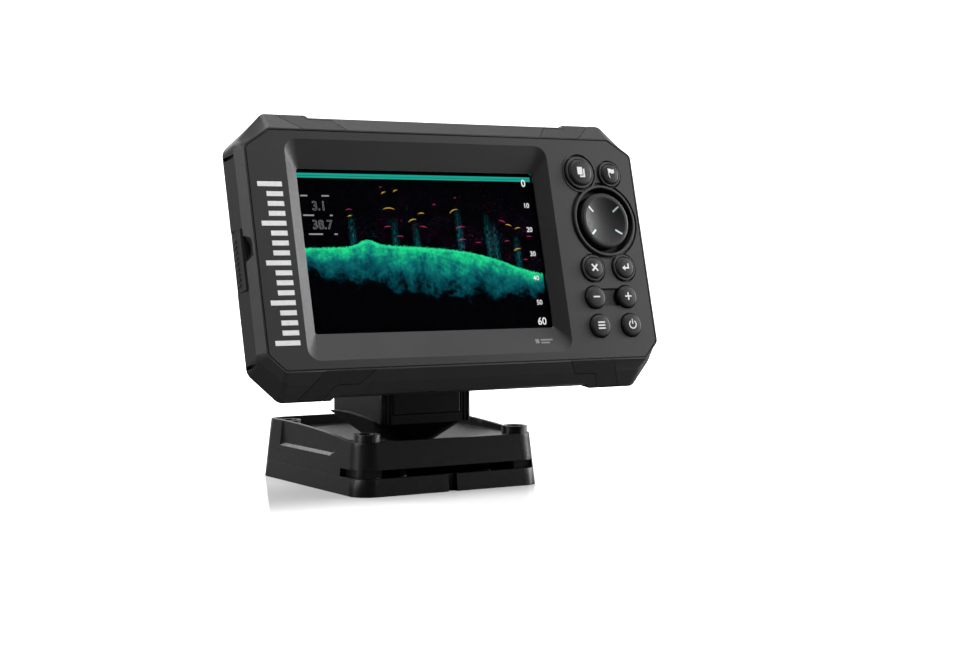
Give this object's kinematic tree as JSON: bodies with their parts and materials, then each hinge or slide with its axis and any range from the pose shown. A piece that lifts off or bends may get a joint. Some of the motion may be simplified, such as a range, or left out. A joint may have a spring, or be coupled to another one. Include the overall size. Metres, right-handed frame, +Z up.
{
  "type": "fish finder",
  "caption": "Boat fish finder: landscape display head with a side keypad, on a quick-release cradle that tilts on a swivelling screw-down base.",
  "frame": {"origin": "middle of the four mounting holes, on the underside of the base", "axes": "+X to the right of someone facing the screen, +Y to the back, +Z up out of the surface that the base stands on"},
  "size_m": [0.1864, 0.1096, 0.1489],
  "materials": {
    "bezel_plastic": "fine textured charcoal moulding",
    "housing_plastic": "fine textured charcoal moulding",
    "corner_rubber": "soft matte elastomer",
    "key_rubber": "matte silicone keycap",
    "bridge_plastic": "satin black strip",
    "door_rubber": "ribbed black elastomer",
    "base_plastic": "satin black moulding",
    "neck_plastic": "satin black moulding",
    "cradle_plastic": "black glass filled moulding",
    "screen_glass": "bonded cover glass",
    "lcd_glass": "liquid crystal panel",
    "diffuser": "white light guide",
    "frame_alloy": "stamped frame",
    "circuit_board": "green solder mask",
    "shield_steel": "tin plated can",
    "ceramic": "antenna ceramic",
    "black_part": "moulded component",
    "flex_film": "amber flexible circuit",
    "socket_plastic": "black nylon connector",
    "contact_brass": "gold plated contact",
    "steel": "stainless steel",
    "bearing_nylon": "natural nylon",
    "seal_rubber": "silicone cord",
    "vent_film": "porous membrane"
  },
  "bodies": {
    "base": {"base_plate": "base_plastic", "base_cover": "base_plastic", "cover_screws": "steel", "swivel_bearing": "bearing_nylon"},
    "neck": {"neck_body": "neck_plastic", "neck_front_cover": "neck_plastic", "neck_rear_cover": "neck_plastic", "tilt_bolt": "steel", "tilt_nut": "steel", "friction_washers": "bearing_nylon", "swivel_washer": "steel", "swivel_spring": "steel", "swivel_screw": "steel"},
    "cradle": {"tilt_cradle": "cradle_plastic", "release_pin": "steel", "release_spring": "steel"},
    "release_lever": {"release_lever": "cradle_plastic"},
    "card_door": {"card_door": "door_rubber"},
    "dpad_rocker": {"dpad_rocker": "shield_steel"},
    "dpad": {"dpad": "key_rubber"},
    "pages_key": {"pages_key": "key_rubber"},
    "waypoint_key": {"waypoint_key": "key_rubber"},
    "exit_key": {"exit_key": "key_rubber"},
    "enter_key": {"enter_key": "key_rubber"},
    "zoom_out_key": {"zoom_out_key": "key_rubber"},
    "zoom_in_key": {"zoom_in_key": "key_rubber"},
    "menu_key": {"menu_key": "key_rubber"},
    "power_key": {"power_key": "key_rubber"},
    "head": {"backlight": "diffuser", "board_screws": "steel", "bottom_left_insert": "corner_rubber", "bottom_right_insert": "corner_rubber", "buzzer": "black_part", "card_socket": "shield_steel", "display_flex": "flex_film", "door_pin": "steel", "front_bezel": "bezel_plastic", "gps_antenna": "ceramic", "housing_screws": "steel", "housing_seal": "seal_rubber", "key_domes": "shield_steel", "key_mat": "key_rubber", "keypad_board": "circuit_board", "lcd_frame": "frame_alloy", "lcd_panel": "lcd_glass", "main_board": "circuit_board", "power_contacts": "contact_brass", "power_socket": "socket_plastic", "rear_housing": "housing_plastic", "screen_lens": "screen_glass", "sonar_contacts": "contact_brass", "sonar_shield": "shield_steel", "sonar_socket": "socket_plastic", "top_left_insert": "corner_rubber", "top_right_insert": "corner_rubber", "vent_membrane": "vent_film", "zoom_bridge": "bridge_plastic"}
  },
  "joints": [
    {"name": "swivel", "type": "hinge", "parent": "base", "child": "neck", "pos_m": [0, 0, 0.018], "axis": [0, 0, 1], "range_deg": [-60, 60]},
    {"name": "tilt", "type": "hinge", "parent": "neck", "child": "cradle", "pos_m": [0, 0.00379, 0.06928], "axis": [1, 0, 0], "range_deg": [-20, 14]},
    {"name": "head_slide", "type": "slide", "parent": "cradle", "child": "head", "axis": [0, 0.2475, 0.9689], "range_m": [0, 0.034]},
    {"name": "release", "type": "hinge", "parent": "cradle", "child": "release_lever", "pos_m": [0, 0.0049, 0.09583], "axis": [1, 0, 0], "range_deg": [0, 12], "stiffness_Nm_per_rad": 0.12},
    {"name": "card_door_hinge", "type": "hinge", "parent": "head", "child": "card_door", "pos_m": [-0.0914, -0.03968, 0.09184], "axis": [0, -0.2475, -0.9689], "range_deg": [0, 100]},
    {"name": "pages_press", "type": "slide", "parent": "head", "child": "pages_key", "axis": [0, 0.9689, -0.2475], "range_m": [0, 0.0008], "stiffness_N_per_m": 400},
    {"name": "waypoint_press", "type": "slide", "parent": "head", "child": "waypoint_key", "axis": [0, 0.9689, -0.2475], "range_m": [0, 0.0008], "stiffness_N_per_m": 400},
    {"name": "exit_press", "type": "slide", "parent": "head", "child": "exit_key", "axis": [0, 0.9689, -0.2475], "range_m": [0, 0.0008], "stiffness_N_per_m": 400},
    {"name": "enter_press", "type": "slide", "parent": "head", "child": "enter_key", "axis": [0, 0.9689, -0.2475], "range_m": [0, 0.0008], "stiffness_N_per_m": 400},
    {"name": "zoom_out_press", "type": "slide", "parent": "head", "child": "zoom_out_key", "axis": [0, 0.9689, -0.2475], "range_m": [0, 0.0008], "stiffness_N_per_m": 400},
    {"name": "zoom_in_press", "type": "slide", "parent": "head", "child": "zoom_in_key", "axis": [0, 0.9689, -0.2475], "range_m": [0, 0.0008], "stiffness_N_per_m": 400},
    {"name": "menu_press", "type": "slide", "parent": "head", "child": "menu_key", "axis": [0, 0.9689, -0.2475], "range_m": [0, 0.0008], "stiffness_N_per_m": 400},
    {"name": "power_press", "type": "slide", "parent": "head", "child": "power_key", "axis": [0, 0.9689, -0.2475], "range_m": [0, 0.0008], "stiffness_N_per_m": 400},
    {"name": "dpad_up_down", "type": "hinge", "parent": "head", "child": "dpad_rocker", "pos_m": [0.0713, -0.04297, 0.10764], "axis": [1, 0, 0], "range_deg": [-3, 3], "stiffness_Nm_per_rad": 0.06},
    {"name": "dpad_left_right", "type": "hinge", "parent": "dpad_rocker", "child": "dpad", "pos_m": [0.0713, -0.04297, 0.10764], "axis": [0, 0.2475, 0.9689], "range_deg": [-3, 3], "stiffness_Nm_per_rad": 0.06}
  ]
}
